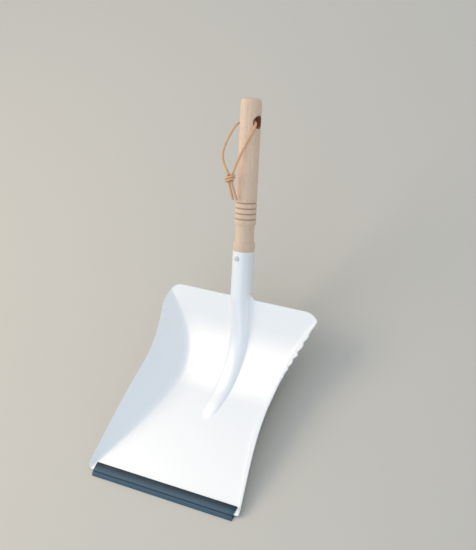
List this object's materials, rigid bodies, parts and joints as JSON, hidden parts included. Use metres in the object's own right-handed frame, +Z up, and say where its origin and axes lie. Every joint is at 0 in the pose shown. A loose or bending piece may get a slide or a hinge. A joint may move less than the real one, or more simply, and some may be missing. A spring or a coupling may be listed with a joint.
{
  "type": "dustpan",
  "caption": "Pressed steel dustpan with curved back, side walls and stiffening ridge, rubber lip, turned wooden handle in a rolled socket, and a knotted leather hanging loop.",
  "frame": {"origin": "on the ground, under the middle of the pan and handle's overall box", "axes": "+X along the lip, +Y from the lip towards the handle, +Z up from the ground"},
  "size_m": [0.2332, 0.4241, 0.2417],
  "materials": {
    "white_enamel": "white powder coat, soft gloss",
    "beech": "turned, lightly oiled",
    "nail_steel": "dull zinc",
    "rubber": "smooth dark blue-grey rubber",
    "leather": "natural round leather lace"
  },
  "bodies": {
    "dustpan": {"pan": "white_enamel", "handle": "beech", "nail": "nail_steel", "rubber_lip": "rubber"},
    "hanging_lace": {"lace_loop": "leather", "lace_knot": "leather", "lace_tails": "leather"}
  },
  "joints": [
    {"name": "lace_swing", "type": "hinge", "parent": "dustpan", "child": "hanging_lace", "pos_m": [0, 0.18624, 0.21559], "axis": [-1, 0, 0], "range_deg": [0, 180], "deforming": ["lace_loop"]}
  ]
}
